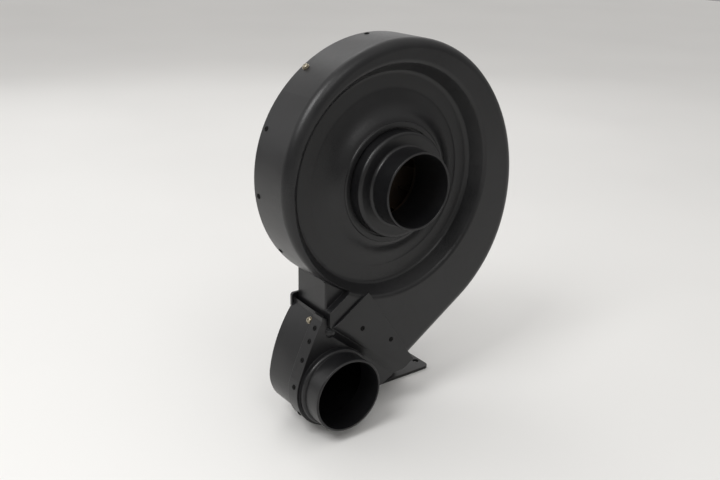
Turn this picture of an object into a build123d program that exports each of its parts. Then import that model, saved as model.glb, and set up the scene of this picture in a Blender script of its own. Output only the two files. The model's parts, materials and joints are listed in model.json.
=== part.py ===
"""Motor-driven radial exhaust blower with a moulded scroll, an inlet collar and a turned-down outlet elbow.

Frame: the origin is on the floor, straight below the fan shaft, in the plane of the scroll's back.
+X is to the right seen from the front, +Y runs back along the shaft, +Z is up. "Depth" is measured
forward from the back of the scroll, so a point at depth d lies at Y = -d.
"""
from build123d import *
from math import acos, atan2, cos, degrees, hypot, radians, sin
import os

os.makedirs("parts", exist_ok=True)

# ---------------------------------------------------------------- driving dimensions, millimetres
SHAFT_HEIGHT = 312.0        # floor to shaft
WALL = 3.0                  # moulded shell thickness
FIT_GAP = 0.3               # play between nested shells
SCROLL_DEPTH = 70.0         # back plane to the raised front ring and duct
WEB_DEPTH = 60.0            # back plane to the low web between the ring and the duct
DISC_DEPTH = 49.0           # back plane to the recessed disc in front of the impeller
BOSS_DEPTH = 66.0           # back plane to the top of the inlet boss
FRONT_ROUND = 12.0          # rounding along the front of the scroll
WEB_REACH = 55.0            # how far the low web spreads from the foot of that wall
NECK_ROUND = 2.5            # rounding along the front of the neck's side wall
REAR_RIM = 20.0             # how far the rear shell reaches into the front one

# scroll outline: four tangent arcs about the shaft, then the straight duct floor
VOLUTE_START = (-5.3, 11.2)             # centre of the smallest arc, from the shaft
VOLUTE_RADII = (152.0, 176.0, 206.0, 176.0)
VOLUTE_JOINTS = (138.0, 48.0, -13.6)    # directions in which one arc passes into the next
FLOOR_DIRECTION = -56.0                 # outward direction of the duct floor
DUCT_WIDTH = 149.0                      # duct roof to duct floor
NECK_WALL_X = -97.0                     # upright side wall between the scroll and the elbow
NECK_END_Z = 146.0                      # where that wall ends inside the elbow
NECK_FLOOR_X = 12.0                     # where the duct floor ends inside the elbow

SPIGOT_RADIUS = 47.5        # outside of both duct spigots
SPIGOT_WALL = 2.8
INLET_HOLE = 68.0           # radius of the hole in the inlet boss
INLET_MOUTH_DEPTH = 110.7
COLLAR_RADIUS = 65.5
COLLAR_DEPTH = 81.0
COLLAR_FLANGE = 71.5

ELBOW_AXIS = (-87.0, 63.0)  # X and Z of the outlet spigot
ELBOW_RADIUS = 54.5         # outside of the front shell's skirt round the outlet
ELBOW_BACK = -4.0           # depth of the elbow's back face, behind the scroll
ELBOW_SPLIT = 45.0          # depth where the front shell's skirt begins
ELBOW_FACE = 65.0           # depth of the front shell's low face
OUTLET_MOUTH_DEPTH = 98.0
SLEEVE_OFFSET = 65.0        # outlet axis to the sleeve's underside
SLEEVE_START = 68.0         # outlet axis to where the sleeve turns square to the duct
SLEEVE_END = 103.0          # outlet axis to the sleeve's end, up the duct
PAD_TOP = -72.0             # upper edge of the plate that laps over the duct
PAD_NOTCH = 49.0            # where that edge begins, beside the side wall
PAD_FOOT = 28.0             # where the plate steps down towards the spigot
PAD_DEPTH = 73.3
PAD_RAMP = 22.0             # length of the slope from the plate down to the low face
ROOT_DEPTH = 73.5           # where the outlet spigot's thicker root ends
DIMPLE_PLACE = (-93.0, 63.0, 137.0)     # X, depth and Z of the moulded dome beside the plate
DIMPLE_RADIUS = 7.0
EAR_WIDTH = 30.0            # ear of the elbow's back that stands up behind the neck
EAR_HEIGHT = 20.0
EAR_Z = 158.0
ELBOW_SIDE_X = -105.0       # top of the elbow's side wall
ELBOW_SIDE_Z = 154.0
ELBOW_LIP = 6.0            # upright strip above the curved part of that wall

RIVET_RADIUS = 1.6          # hole radius; the shank is one SHANK_GAP smaller
SCREW_RADIUS = 2.0
SHANK_GAP = 0.05
RIM_DEPTH = 8.0             # depth of the fasteners round the scroll's rim
RIM_START = 216.7           # direction of the first rim fastener
RIM_PITCH = 30.25
RIM_COUNT = 10

RIVET_HEAD = 3.25
RIVET_CROWN = 1.1           # height of the rivet's head
RIVET_BORE = 0.9            # hollow left by the pulled mandrel
RIVET_LENGTH = 7.5
SCREW_LENGTH = 9.0
SCREW_HEAD = 3.8
SCREW_CROWN = 2.6           # height of the screw's head
CROSS_LENGTH, CROSS_WIDTH = 3.6, 0.8
WASHER_RADIUS = 4.5
WASHER_THICK = 0.8
ELBOW_SCREW_DEPTH = 40.0
ELBOW_SCREW_STEP = 0.9      # place on the side wall, as a share of its length
BAND_DEPTH = 56.5           # depth of the rivets round the elbow's skirt
BAND_ANGLES = (169.7, 213.0, 254.0, 292.0)      # those on the round part, about the outlet
BAND_STEPS = (0.33, 0.64, 0.86)                 # those on the side wall, as shares of its length
PLATE_RIVETS = ((-50.0, 134.0), (-4.0, 106.0))  # X and Z

IMPELLER_RADIUS = 124.0
BLADE_INNER = 56.0
BACKPLATE_DEPTH = 10.0
BACKPLATE = 2.0
SHROUD_DEPTH = 40.0
SHROUD = 1.5
EYE_RADIUS = 50.0
HUB_RADIUS = 16.0
HUB_BACK, HUB_FRONT = -2.0, 34.0
HUB_RIVET_CIRCLE = 24.0
BLADE_COUNT = 12
SHAFT_RADIUS = 6.0
NOSE_RADIUS = 5.5
RUN_GAP = 0.05              # radial play of the shaft in its bearings

MOTOR_FACE = 9.0            # how far behind the scroll the motor flange sits
FLANGE = 8.0                # flange thickness
FLANGE_RADIUS = 70.0
FLANGE_BOLT_CIRCLE = 115.0
HOUSING_RADIUS = 50.0
HOUSING_BORE = 44.0
BEARING_RADIUS = 16.0
BEARING_WIDTH = 10.0

SHAFT_HOLE = 32.0           # hole for the shaft in the rear shell, the gasket and the stand
BOLT_RADIUS = 3.0           # motor flange bolt holes
BOLT_GAP = 0.1
CORE_START, CORE_END = 40.0, 85.0
HOUSING_END = 105.0
BEARING_STARTS = (22.0, 94.0)
ENDSHIELD_RADIUS = 54.0
ENDSHIELD_END = 112.0
COWL_RADIUS = 56.0
COWL_SHEET = 1.6
COWL_START, COWL_END = 106.0, 152.0
COWL_SCREW_Y = 109.0
FAN_START, FAN_END = 118.0, 134.0
FAN_RADIUS = 44.0
FAN_BORE = 5.5
SMALL_SCREW = 1.5           # radius of the M3 screws
SMALL_HEAD = 2.8
SMALL_HEAD_HEIGHT = 1.8
HEX_CORNER = 5.8            # corner radius of the M6 heads and nuts
HEX_HEAD = 4.0
COWL_SCREW_ANGLES = (0, 90, 180, 270)
ROTOR_RADIUS = 27.0
AIR_GAP = 0.5
WINDING_RADIUS = 3.0
COIL_END = 12.0             # how far the coils stand out of the stator core
COIL_OUTER, COIL_INNER = 41.0, 30.0
BOX_HALF = 34.0             # terminal box, half its width
BOX_START, BOX_END = 42.0, 98.0
BOX_FLOOR, BOX_TOP = 366.0, 392.0
BOX_WALL = 2.5
BOX_LID = 4.0
GLAND_RADIUS = 6.0
GLAND_NUT, GLAND_NUT_LENGTH = 8.5, 6.0
GLAND_CAP, GLAND_CAP_LENGTH = 7.6, 9.0
GLAND_BORE = 3.6
GLAND_Z = 380.0
WIRE_HOLE = 8.0             # radius of the hole between the motor and its terminal box
LID_POST = 3.5

STAND_LEFT, STAND_RIGHT = -73.0, 119.0
STAND_FRONT, STAND_BACK = -12.0, 105.0
STAND_SHEET = 4.0
STAND_HALF_WIDTH = 70.0
FOOT_HOLE_RADIUS = 4.5
FOOT_HOLE_X = (-63.0, 111.0)
FOOT_HOLE_Y = (9.0, 95.0)


# ---------------------------------------------------------------- frames and outline helpers
def face_plane(depth, x=0.0, z=SHAFT_HEIGHT):
    """Plane facing forward at a depth, with its origin at the shaft."""
    return Plane(origin=(x, -depth, z), x_dir=(1, 0, 0), z_dir=(0, -1, 0))


def turning_plane(x=0.0, z=SHAFT_HEIGHT):
    """Half-section plane: first coordinate is the radius, second is the depth."""
    return Plane(origin=(x, 0, z), x_dir=(1, 0, 0), z_dir=(0, 0, -1))


def turning_axis(x=0.0, z=SHAFT_HEIGHT):
    return Axis((x, 0, z), (0, -1, 0))


def toward(angle, length=1.0):
    return Vector(length * cos(radians(angle)), length * sin(radians(angle)))


def volute_arcs():
    """Centre and radius of each scroll arc, each one tangent to the next."""
    centre = Vector(*VOLUTE_START)
    arcs = [(centre, VOLUTE_RADII[0])]
    for joint, before, after in zip(VOLUTE_JOINTS, VOLUTE_RADII, VOLUTE_RADII[1:]):
        centre = centre + toward(joint, before - after)
        arcs.append((centre, after))
    return arcs


ARCS = volute_arcs()
OUT = toward(FLOOR_DIRECTION)                       # square to the duct floor, outward
UPSTREAM = toward(FLOOR_DIRECTION + 90.0)           # along the duct, towards the scroll
FLOOR_POINT = ARCS[3][0] + OUT * VOLUTE_RADII[3]
FLOOR_LEVEL = FLOOR_POINT.dot(OUT)
OUTLET = Vector(ELBOW_AXIS[0], ELBOW_AXIS[1] - SHAFT_HEIGHT)


def on_level(level, x):
    """Point with a given X on the line square to OUT at a level."""
    return Vector(x, (level - x * OUT.X) / OUT.Y)


def neck_end(inset, overrun):
    """Ends of the duct floor and of the side wall, where the casing opens into the elbow."""
    floor_end = on_level(FLOOR_LEVEL, NECK_FLOOR_X) - OUT * inset - UPSTREAM * overrun
    wall_end = Vector(NECK_WALL_X + inset, NECK_END_Z - SHAFT_HEIGHT) - UPSTREAM * overrun
    return floor_end, Vector(NECK_WALL_X + inset, wall_end.Y)


def scroll_arcs(inset, last_angle):
    """The four scroll arcs, from the duct floor round to the last direction."""
    limits = [last_angle, *VOLUTE_JOINTS, FLOOR_DIRECTION]
    for (centre, radius), start, end in zip(ARCS, limits[1:], limits):
        CenterArc(centre, radius - inset, start, end - start)


def casing_outline(inset=0.0, overrun=0.0, mode=Mode.ADD):
    """Whole casing seen from the front, with the upright side wall beside the scroll."""
    centre, radius = ARCS[0][0], VOLUTE_RADII[0] - inset
    corner_angle = 360.0 - degrees(acos((NECK_WALL_X + inset - centre.X) / radius))
    floor_end, wall_end = neck_end(inset, overrun)
    with BuildLine() as outline:
        scroll_arcs(inset, corner_angle)
        floor_start = FLOOR_POINT - OUT * inset
        Polyline(floor_start, floor_end, wall_end, centre + toward(corner_angle, radius))
    make_face(outline.edges(), mode=mode)


def raised_outline(inset=0.0, overrun=0.0, mode=Mode.ADD):
    """Raised ring and duct seen from the front, without the low web beside them."""
    centre, radius = ARCS[0][0], VOLUTE_RADII[0] - inset
    roof_level = FLOOR_LEVEL - DUCT_WIDTH + inset
    reach = degrees(acos((roof_level - centre.dot(OUT)) / radius))
    nose_angle = 360.0 + FLOOR_DIRECTION - reach
    floor_end, wall_end = neck_end(inset, overrun)
    with BuildLine() as outline:
        scroll_arcs(inset, nose_angle)
        Polyline(
            FLOOR_POINT - OUT * inset,
            floor_end,
            wall_end,
            on_level(roof_level, NECK_WALL_X + inset),
            centre + toward(nose_angle, radius),
        )
    make_face(outline.edges(), mode=mode)


def volute_point(angle):
    """Point of the scroll's outline whose outward direction is the angle."""
    arc = sum(angle < joint for joint in VOLUTE_JOINTS)
    centre, radius = ARCS[arc]
    return centre + toward(angle, radius)


def rim_plane(angle, depth, out=0.0):
    """Plane on the scroll's rim that faces outward, moved out by a distance."""
    point = volute_point(angle) + toward(angle, out)
    return Plane(
        origin=(point.X, -depth, point.Y + SHAFT_HEIGHT),
        x_dir=(0, 1, 0),
        z_dir=(cos(radians(angle)), 0, sin(radians(angle))),
    )


RIM_ANGLES = [RIM_START - RIM_PITCH * step for step in range(RIM_COUNT)]
SCREW_ANGLES = [angle for step, angle in enumerate(RIM_ANGLES) if step % 2 == 1 and step > 2]
RIVET_ANGLES = [angle for angle in RIM_ANGLES if angle not in SCREW_ANGLES]


def elbow_point(across, along):
    """Point from the outlet axis: across the duct towards its floor, and up the duct."""
    return OUTLET + OUT * across + UPSTREAM * along


def side_curve(inset=0.0, bulge=0.0):
    """Foot, top and starting direction of the elbow's curved side wall."""
    foot_angle = 160.0 + 12.0 * bulge
    foot = OUTLET + toward(foot_angle, ELBOW_RADIUS - inset)
    top = Vector(ELBOW_SIDE_X + inset, ELBOW_SIDE_Z - SHAFT_HEIGHT + 2.0 * bulge)
    return foot, top, foot_angle


def elbow_outline(inset=0.0, bulge=0.0, overrun=0.0):
    """Elbow seen from the front: round under the outlet, straight sleeve, curved side wall."""
    radius = ELBOW_RADIUS - inset
    foot, side_top, foot_angle = side_curve(inset, bulge)
    side_end = side_top + Vector(0, ELBOW_LIP + overrun)
    sleeve_in = elbow_point(SLEEVE_OFFSET - inset, SLEEVE_START)
    sleeve_out = elbow_point(SLEEVE_OFFSET - inset, SLEEVE_END + overrun)
    gap = sleeve_in - OUTLET
    tangent_angle = 360.0 + degrees(atan2(gap.Y, gap.X) - acos(radius / hypot(gap.X, gap.Y)))
    mouth = [elbow_point(PAD_TOP, SLEEVE_END + overrun)]
    if not overrun:
        mouth.append(elbow_point(PAD_TOP + 4.0, PAD_NOTCH))
    with BuildLine() as outline:
        CenterArc(OUTLET, radius, foot_angle, tangent_angle - foot_angle)
        Polyline(OUTLET + toward(tangent_angle, radius), sleeve_in, sleeve_out, *mouth, side_end, side_top)
        TangentArc(foot, side_top, tangent=toward(foot_angle - 90.0))
    make_face(outline.edges())


def pad_block(inset=0.0, overrun=0.0):
    """Raised plate that laps over the duct, sloping down to the spigot; open along its upper edge."""
    upper = PAD_TOP - bool(inset)
    lower = SLEEVE_OFFSET - inset
    foot = elbow_point(PAD_TOP, PAD_FOOT)
    slope = elbow_point(SLEEVE_OFFSET, SLEEVE_START) - foot
    side = Vector(slope.Y, -slope.X).normalized() * -1
    ramp_plane = Plane(
        origin=(foot.X, 0, foot.Y + SHAFT_HEIGHT), x_dir=(side.X, 0, side.Y), z_dir=(side.Y, 0, -side.X)
    )
    with BuildPart() as block:
        with BuildSketch(face_plane(ELBOW_SPLIT - bool(inset))) as plan:
            with BuildLine() as outline:
                Polyline(
                    elbow_point(upper, SLEEVE_END + overrun),
                    elbow_point(lower, SLEEVE_END + overrun),
                    elbow_point(lower, 0),
                    elbow_point(upper, 0),
                    close=True,
                )
            make_face(outline.edges())
        extrude(plan.sketch, amount=PAD_DEPTH)
        with BuildSketch(ramp_plane) as profile:
            with BuildLine() as edge_line:
                low = (inset, ELBOW_FACE - inset - 1)
                high = (PAD_RAMP + inset, PAD_DEPTH - inset)
                Spline(low, high, tangents=((1, 0.25), (1, 0)))
                Polyline(high, (2 * SLEEVE_END, high[1]), (2 * SLEEVE_END, 0), (inset, 0), low)
            make_face(edge_line.edges())
        extrude(profile.sketch, amount=4 * SLEEVE_END, both=True, mode=Mode.INTERSECT)
    return block.part


# ---------------------------------------------------------------- fastener planes and small helpers
def drill(planes, radius, depth=9.0):
    """Blind holes from outside, one in each plane."""
    with BuildSketch(*planes) as spots:
        Circle(radius)
    extrude(spots.sketch, amount=depth, both=True, mode=Mode.SUBTRACT)


def skin_plane(point, outward, depth):
    """Plane on an outline point, facing along a direction in the outline's plane."""
    return Plane(
        origin=(point.X, -depth, point.Y + SHAFT_HEIGHT), x_dir=(0, 1, 0), z_dir=(outward.X, 0, outward.Y)
    )


def side_plane(step, depth, inset=0.0, bulge=0.0, out=0.0):
    """Plane on the elbow's curved side wall, a share of the way up it, moved out by a distance."""
    foot, top, foot_angle = side_curve(inset, bulge)
    side = TangentArc(foot, top, tangent=toward(foot_angle - 90.0))
    along = side % step
    outward = Vector(-along.Y, along.X)
    return skin_plane(side @ step + outward * out, outward, depth)


def band_planes():
    """Planes of the rivets round the elbow's skirt."""
    planes = []
    for angle in BAND_ANGLES:
        planes.append(skin_plane(OUTLET + toward(angle, ELBOW_RADIUS), toward(angle), BAND_DEPTH))
    for step in BAND_STEPS:
        planes.append(side_plane(step, BAND_DEPTH))
    return planes


BAND_PLANES = band_planes()
PLATE_PLANES = [
    Plane(origin=(x, -PAD_DEPTH, z), x_dir=(1, 0, 0), z_dir=(0, -1, 0)) for x, z in PLATE_RIVETS
]
ELBOW_SCREW_PLANE = side_plane(ELBOW_SCREW_STEP, ELBOW_SCREW_DEPTH, WALL, 0.1, 0.3)


def back_plane(y):
    """Plane facing back at a distance behind the scroll, centred on the shaft."""
    return Plane(origin=(0, y, SHAFT_HEIGHT), x_dir=(-1, 0, 0), z_dir=(0, 1, 0))


def turned(*points, mode=Mode.ADD):
    """Solid of revolution about the shaft, from points given as radius and Y."""
    with BuildSketch(Plane(origin=(0, 0, SHAFT_HEIGHT), x_dir=(1, 0, 0), z_dir=(0, 0, 1))) as section:
        with BuildLine() as outline:
            Polyline(*points, close=True)
        make_face(outline.edges())
    revolve(section.sketch, axis=Axis((0, 0, SHAFT_HEIGHT), (0, 1, 0)), mode=mode)


def round_bar(start, length, radius, inner=0.0, spots=((0.0, 0.0),), mode=Mode.ADD):
    """Round bars or tubes along the shaft's direction, at positions around it."""
    with BuildSketch(back_plane(start)) as section:
        with Locations(*spots):
            Circle(radius)
        if inner:
            with Locations(*spots):
                Circle(inner, mode=Mode.SUBTRACT)
    extrude(section.sketch, amount=length, mode=mode)


def ring_of(count, radius, start=45.0):
    """Evenly spaced positions round the shaft."""
    spots = [toward(start + step * 360.0 / count, radius) for step in range(count)]
    return [(spot.X, spot.Y) for spot in spots]


BOLT_SPOTS = ring_of(4, FLANGE_BOLT_CIRCLE / 2)


# ---------------------------------------------------------------- scroll: front shell
BOSS_FOOT = (                       # radius and depth where the recessed disc sweeps up to the inlet boss
    (75.0, 64.0),
    (79.0, 62.6),
    (84.0, 59.0),
    (90.0, 54.9),
    (98.0, 51.8),
    (110.0, 49.5),
    (128.5, DISC_DEPTH),
)
RING_FOOT = (134.0, 52.1)           # end of the fillet between the disc and the ring's inner slope
RING_SHOULDER = (142.9, 66.8)       # start of the rounding at the ring's crest
RING_CREST = 148.4


def front_recess(drop):
    """Everything in front of the recessed face, with the face moved back by a distance."""
    steep = 0.6 * drop
    foot = [(r - steep * (index in (1, 2, 3)), d - drop) for index, (r, d) in enumerate(BOSS_FOOT)]
    ring_foot = (RING_FOOT[0] + steep, RING_FOOT[1] - drop)
    shoulder = (RING_SHOULDER[0] + steep, RING_SHOULDER[1] - drop)
    crest = (RING_CREST + steep, SCROLL_DEPTH - drop)
    lip = foot[0][0] - drop * 0.3
    far = SCROLL_DEPTH + 30.0
    with BuildSketch(turning_plane()) as section:
        with BuildLine():
            Polyline(
                foot[0],
                (lip - 0.6, BOSS_DEPTH - drop - 0.8),
                (lip - 1.8, BOSS_DEPTH - drop),
                (0, BOSS_DEPTH - drop),
                (0, far),
                (crest[0], far),
                crest,
            )
            Spline(*foot, tangents=((1.0, -0.25), (1.0, 0.0)))
            TangentArc(foot[-1], ring_foot, tangent=(1, 0))
            Line(ring_foot, shoulder)
            TangentArc(shoulder, crest, tangent=(shoulder[0] - ring_foot[0], shoulder[1] - ring_foot[1]))
        make_face()
    revolve(section.sketch, axis=turning_axis(), mode=Mode.SUBTRACT)


def neck_corner(part):
    """Front edge of the neck's upright side wall."""
    front = part.faces().sort_by(Axis.Y)[0]
    return [edge for edge in front.edges() if abs((edge @ 0.5).X - NECK_WALL_X) < 4]


def front_edges(part):
    """Edges of the foremost face, without those at the open end of the duct."""
    kept = ShapeList()
    for edge in part.faces().sort_by(Axis.Y)[0].edges():
        middle = edge @ 0.5
        spot = Vector(middle.X, middle.Z - SHAFT_HEIGHT)
        beside_duct = abs(spot.dot(OUT) - FLOOR_LEVEL) < FRONT_ROUND or spot.X > NECK_WALL_X + FRONT_ROUND
        at_mouth = spot.dot(UPSTREAM) < on_level(FLOOR_LEVEL, NECK_FLOOR_X).dot(UPSTREAM) - 1
        if edge.geom_type == GeomType.CIRCLE or beside_duct and not at_mouth:
            kept.append(edge)
    return kept


with BuildPart() as raised_block:
    with BuildSketch(face_plane(0)):
        raised_outline()
    extrude(amount=SCROLL_DEPTH)
    fillet(front_edges(raised_block), FRONT_ROUND)

with BuildPart() as casing_cavity:
    with BuildSketch(face_plane(-1)):
        raised_outline(WALL, overrun=10)
    extrude(amount=SCROLL_DEPTH - WALL + 1)
    fillet(front_edges(casing_cavity), FRONT_ROUND - WALL)
    with BuildSketch(face_plane(-1)):
        casing_outline(WALL, overrun=10)
    extrude(amount=WEB_DEPTH - WALL + 1)
    front_recess(WALL)

with BuildPart() as neck_block:
    with BuildSketch(face_plane(0)):
        casing_outline()
        with Locations((NECK_WALL_X, NECK_END_Z - SHAFT_HEIGHT)):
            Rectangle(2 * WEB_REACH, 2 * WEB_REACH, mode=Mode.INTERSECT)
    extrude(amount=WEB_DEPTH)
    fillet(neck_corner(neck_block), NECK_ROUND)

with BuildPart() as scroll_front_shell:
    with BuildSketch(face_plane(0)):
        casing_outline()
    extrude(amount=SCROLL_DEPTH - FRONT_ROUND - NECK_ROUND)
    add(neck_block.part)
    add(raised_block.part)
    front_recess(0)
    add(casing_cavity.part, mode=Mode.SUBTRACT)
    with BuildSketch(face_plane(0)):
        Circle(INLET_HOLE)
    extrude(amount=SCROLL_DEPTH + 20, mode=Mode.SUBTRACT)
    drill([rim_plane(angle, RIM_DEPTH) for angle in RIVET_ANGLES], RIVET_RADIUS)
    drill([rim_plane(angle, RIM_DEPTH) for angle in SCREW_ANGLES], SCREW_RADIUS)
    drill(PLATE_PLANES, RIVET_RADIUS)
scroll_front_shell.part.label = "scroll_front_shell"
export_step(scroll_front_shell.part, "parts/scroll_front_shell.step")


# ---------------------------------------------------------------- scroll: rear shell and cut-off
NESTED = WALL + FIT_GAP
with BuildPart() as scroll_rear_shell:
    with BuildSketch(face_plane(0)):
        casing_outline(NESTED)
    extrude(amount=REAR_RIM)
    with BuildSketch(face_plane(WALL)):
        casing_outline(NESTED + WALL, overrun=10)
    extrude(amount=REAR_RIM, mode=Mode.SUBTRACT)
    with BuildSketch(face_plane(0)):
        Circle(SHAFT_HOLE)
    extrude(amount=WALL, mode=Mode.SUBTRACT)
    round_bar(-WALL, WALL, BOLT_RADIUS, spots=BOLT_SPOTS, mode=Mode.SUBTRACT)
    drill([rim_plane(angle, RIM_DEPTH) for angle in RIVET_ANGLES], RIVET_RADIUS)
    drill([rim_plane(angle, RIM_DEPTH) for angle in SCREW_ANGLES], SCREW_RADIUS)
scroll_rear_shell.part.label = "scroll_rear_shell"
export_step(scroll_rear_shell.part, "parts/scroll_rear_shell.step")

# hollow wedge that splits the air at the start of the scroll, open to the back
TONGUE_DEPTH = WEB_DEPTH - WALL
with BuildPart() as cutoff_tongue:
    with BuildSketch(face_plane(NESTED)):
        casing_outline(NESTED + WALL + FIT_GAP)
        raised_outline(WALL, overrun=10, mode=Mode.SUBTRACT)
    extrude(amount=TONGUE_DEPTH - NESTED - FIT_GAP)
    with BuildSketch(face_plane(NESTED)):
        casing_outline(NESTED + 2 * WALL)
        raised_outline(0, overrun=10, mode=Mode.SUBTRACT)
    extrude(amount=TONGUE_DEPTH - NESTED - WALL, mode=Mode.SUBTRACT)
cutoff_tongue.part.label = "cutoff_tongue"
export_step(cutoff_tongue.part, "parts/cutoff_tongue.step")

# ---------------------------------------------------------------- inlet collar
INNER = SPIGOT_RADIUS - SPIGOT_WALL
NOZZLE_DEPTH = 50.0
BOSS_INSIDE = BOSS_DEPTH - WALL
ROOT_ROUND = 3.5
COLLAR_ROUND = 4.5
MOUTH_ROUND = 0.8
with BuildPart() as inlet_spigot:
    with BuildSketch(turning_plane()):
        with BuildLine():
            Polyline(
                (SPIGOT_RADIUS, COLLAR_DEPTH + ROOT_ROUND),
                (SPIGOT_RADIUS, INLET_MOUTH_DEPTH - MOUTH_ROUND),
                (SPIGOT_RADIUS - MOUTH_ROUND, INLET_MOUTH_DEPTH),
                (INNER + MOUTH_ROUND, INLET_MOUTH_DEPTH),
                (INNER, INLET_MOUTH_DEPTH - MOUTH_ROUND),
                (INNER, NOZZLE_DEPTH),
                (SPIGOT_RADIUS, NOZZLE_DEPTH),
                (SPIGOT_RADIUS, COLLAR_DEPTH - WALL),
                (COLLAR_RADIUS - COLLAR_ROUND, COLLAR_DEPTH - WALL),
                (COLLAR_RADIUS - WALL, COLLAR_DEPTH - COLLAR_ROUND),
                (COLLAR_RADIUS - WALL, BOSS_INSIDE - WALL),
                (COLLAR_FLANGE, BOSS_INSIDE - WALL),
                (COLLAR_FLANGE, BOSS_INSIDE),
                (COLLAR_RADIUS, BOSS_INSIDE),
                (COLLAR_RADIUS, COLLAR_DEPTH - COLLAR_ROUND),
            )
            RadiusArc(
                (COLLAR_RADIUS, COLLAR_DEPTH - COLLAR_ROUND),
                (COLLAR_RADIUS - COLLAR_ROUND, COLLAR_DEPTH),
                -COLLAR_ROUND,
            )
            Line((COLLAR_RADIUS - COLLAR_ROUND, COLLAR_DEPTH), (SPIGOT_RADIUS + ROOT_ROUND, COLLAR_DEPTH))
            RadiusArc(
                (SPIGOT_RADIUS + ROOT_ROUND, COLLAR_DEPTH),
                (SPIGOT_RADIUS, COLLAR_DEPTH + ROOT_ROUND),
                ROOT_ROUND,
            )
        make_face()
    revolve(axis=turning_axis())
inlet_spigot.part.label = "inlet_spigot"
export_step(inlet_spigot.part, "parts/inlet_spigot.step")

# ---------------------------------------------------------------- elbow
with BuildPart() as elbow_rear_shell:
    with BuildSketch(face_plane(ELBOW_BACK)):
        elbow_outline(WALL, bulge=1)
    with BuildSketch(face_plane(ELBOW_SPLIT)):
        elbow_outline(WALL)
    loft(ruled=True)
    with BuildSketch(face_plane(ELBOW_SPLIT)):
        elbow_outline(WALL)
    extrude(amount=ELBOW_FACE - WALL - ELBOW_SPLIT - FIT_GAP)
    with BuildSketch(face_plane(ELBOW_BACK + WALL)):
        elbow_outline(2 * WALL, bulge=1, overrun=14)
    with BuildSketch(face_plane(ELBOW_SPLIT)):
        elbow_outline(2 * WALL, overrun=14)
    loft(ruled=True, mode=Mode.SUBTRACT)
    with BuildSketch(face_plane(ELBOW_SPLIT)):
        elbow_outline(2 * WALL, overrun=14)
    extrude(amount=ELBOW_FACE, mode=Mode.SUBTRACT)
    with BuildSketch(face_plane(ELBOW_BACK - 1)):
        with Locations((ELBOW_SIDE_X + EAR_WIDTH / 2 - 1, EAR_Z - SHAFT_HEIGHT)):
            RectangleRounded(EAR_WIDTH, EAR_HEIGHT, 4)
    extrude(amount=WALL + 1)
    drill([ELBOW_SCREW_PLANE], SCREW_RADIUS, depth=20)
    drill(BAND_PLANES, RIVET_RADIUS)
elbow_rear_shell.part.label = "elbow_rear_shell"
export_step(elbow_rear_shell.part, "parts/elbow_rear_shell.step")

with BuildPart() as elbow_front_shell:
    with BuildSketch(face_plane(ELBOW_SPLIT)):
        elbow_outline()
    extrude(amount=ELBOW_FACE - ELBOW_SPLIT)
    add(pad_block())
    with BuildSketch(face_plane(ELBOW_SPLIT - 1)):
        elbow_outline(WALL, overrun=14)
    extrude(amount=ELBOW_FACE - WALL - ELBOW_SPLIT + 1, mode=Mode.SUBTRACT)
    add(pad_block(WALL, overrun=14), mode=Mode.SUBTRACT)
    with BuildSketch(face_plane(ELBOW_SPLIT - 1)):
        raised_outline(-FIT_GAP)
    extrude(amount=SCROLL_DEPTH + FIT_GAP - ELBOW_SPLIT + 1, mode=Mode.SUBTRACT)
    with BuildSketch(turning_plane(*ELBOW_AXIS)):
        with BuildLine():
            Polyline(
                (SPIGOT_RADIUS, ROOT_DEPTH),
                (SPIGOT_RADIUS, OUTLET_MOUTH_DEPTH - MOUTH_ROUND),
                (SPIGOT_RADIUS - MOUTH_ROUND, OUTLET_MOUTH_DEPTH),
                (INNER - WALL, OUTLET_MOUTH_DEPTH),
                (INNER - WALL, ELBOW_FACE - WALL),
                (SPIGOT_RADIUS + ROOT_ROUND, ELBOW_FACE - WALL),
                (SPIGOT_RADIUS + ROOT_ROUND, ROOT_DEPTH - ROOT_ROUND),
            )
            RadiusArc(
                (SPIGOT_RADIUS + ROOT_ROUND, ROOT_DEPTH - ROOT_ROUND),
                (SPIGOT_RADIUS, ROOT_DEPTH),
                -ROOT_ROUND,
            )
        make_face()
    revolve(axis=turning_axis(*ELBOW_AXIS))
    with Locations((DIMPLE_PLACE[0], -DIMPLE_PLACE[1], DIMPLE_PLACE[2])):
        Sphere(DIMPLE_RADIUS)
    with BuildSketch(face_plane(ELBOW_FACE - WALL)):
        with Locations((DIMPLE_PLACE[0], DIMPLE_PLACE[2] - SHAFT_HEIGHT)):
            Circle(DIMPLE_RADIUS + FIT_GAP)
    extrude(amount=-3 * DIMPLE_RADIUS, mode=Mode.SUBTRACT)
    with BuildSketch(face_plane(ELBOW_SPLIT, *ELBOW_AXIS)):
        Circle(INNER)
    extrude(amount=OUTLET_MOUTH_DEPTH, mode=Mode.SUBTRACT)
    drill(BAND_PLANES, RIVET_RADIUS)
    drill(PLATE_PLANES, RIVET_RADIUS)
elbow_front_shell.part.label = "elbow_front_shell"
export_step(elbow_front_shell.part, "parts/elbow_front_shell.step")

# ---------------------------------------------------------------- casing fasteners
with BuildPart() as rivet_form:
    with BuildSketch(Plane.XZ):
        with BuildLine():
            brim = (RIVET_HEAD, 0.3)
            crown = (RIVET_BORE + 0.6, RIVET_CROWN)
            Polyline(
                (RIVET_BORE, -RIVET_LENGTH),
                (RIVET_RADIUS - SHANK_GAP, -RIVET_LENGTH),
                (RIVET_RADIUS - SHANK_GAP, 0),
                (RIVET_HEAD, 0),
                brim,
            )
            ThreePointArc(brim, (2.5, 0.85), crown)
            Polyline(crown, (RIVET_BORE, RIVET_CROWN - 0.2), (RIVET_BORE, -RIVET_LENGTH))
        make_face()
    revolve(axis=Axis.Z)

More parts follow.
